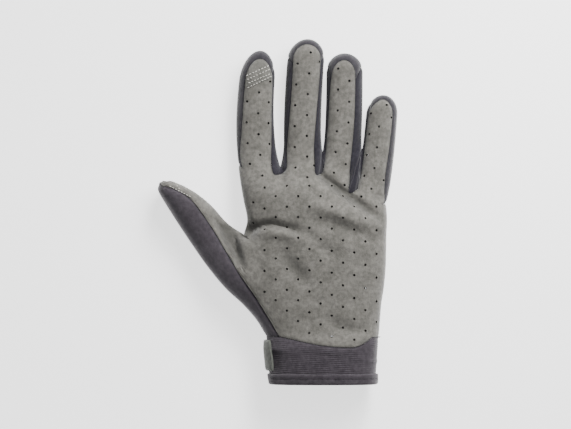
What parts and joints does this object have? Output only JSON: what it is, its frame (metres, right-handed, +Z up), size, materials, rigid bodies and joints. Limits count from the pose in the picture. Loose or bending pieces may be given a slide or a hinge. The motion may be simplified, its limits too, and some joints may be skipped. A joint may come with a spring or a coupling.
{
  "type": "off-road motorcycle glove",
  "caption": "Left-hand off-road motorcycle glove lying palm up: perforated suede palm, dark stretch back and thumb panel, ribbed cuff with hem and strap.",
  "frame": {"origin": "middle of the bottom of the glove's box: the surface the glove lies on", "axes": "+Y from the cuff to the fingertips, +X from the thumb to the little finger, +Z up out of the palm"},
  "size_m": [0.1584, 0.2272, 0.0323],
  "materials": {
    "suede": "matt grey-olive synthetic suede, perforated",
    "stretch_fabric": "matt charcoal stretch knit",
    "fourchette_fabric": "matt near-black stretch knit",
    "thumb_fabric": "smooth charcoal stretch fabric",
    "rib_fabric": "charcoal fabric with fine cross ribs",
    "binding_fabric": "folded fabric binding, lockstitched",
    "strap_suede": "matt grey-green strap with thick cut edge"
  },
  "bodies": {
    "root": {"palm_panel": "suede", "back_panel": "stretch_fabric", "fourchette_index_middle": "fourchette_fabric", "fourchette_middle_ring": "fourchette_fabric", "fourchette_ring_little": "fourchette_fabric", "thumb_panel": "thumb_fabric", "cuff": "rib_fabric", "cuff_hem": "binding_fabric", "closure_strap": "strap_suede"}
  },
  "joints": []
}
